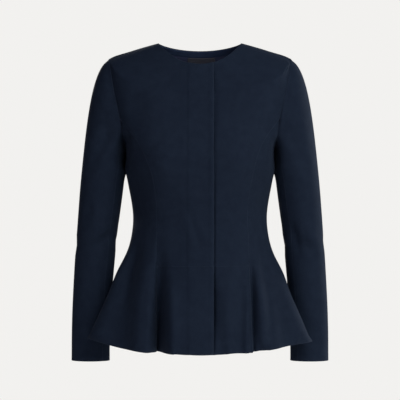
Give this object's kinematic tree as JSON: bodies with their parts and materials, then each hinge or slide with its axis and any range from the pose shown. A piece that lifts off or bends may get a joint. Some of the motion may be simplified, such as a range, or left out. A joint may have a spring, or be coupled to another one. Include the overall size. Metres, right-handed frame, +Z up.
{
  "type": "peplum jacket",
  "caption": "Collarless peplum jacket with long set-in sleeves, princess seams, a concealed lapped front and a flared, folded skirt, hollow as worn.",
  "frame": {"origin": "midway between the two neck points, where the shoulders of the wearer hold the jacket", "axes": "+Z up the body, the front faces -Y, +X towards the wearer's left sleeve"},
  "size_m": [0.5308, 0.3172, 0.651],
  "materials": {
    "wool_crepe": "navy wool crepe, matte with a fine pebbled face",
    "lining": "navy lining twill with a soft sheen",
    "label_weave": "charcoal woven label, plain"
  },
  "bodies": {
    "root": {"right_front": "wool_crepe", "left_front": "wool_crepe", "right_front_peplum": "wool_crepe", "left_front_peplum": "wool_crepe", "right_side_front": "wool_crepe", "right_side_back": "wool_crepe", "left_side_front": "wool_crepe", "left_side_back": "wool_crepe", "back": "wool_crepe", "back_neck_facing": "wool_crepe", "inner_back": "lining", "label": "label_weave", "right_upper_sleeve": "wool_crepe", "right_under_sleeve": "wool_crepe", "left_upper_sleeve": "wool_crepe", "left_under_sleeve": "wool_crepe"}
  },
  "joints": []
}
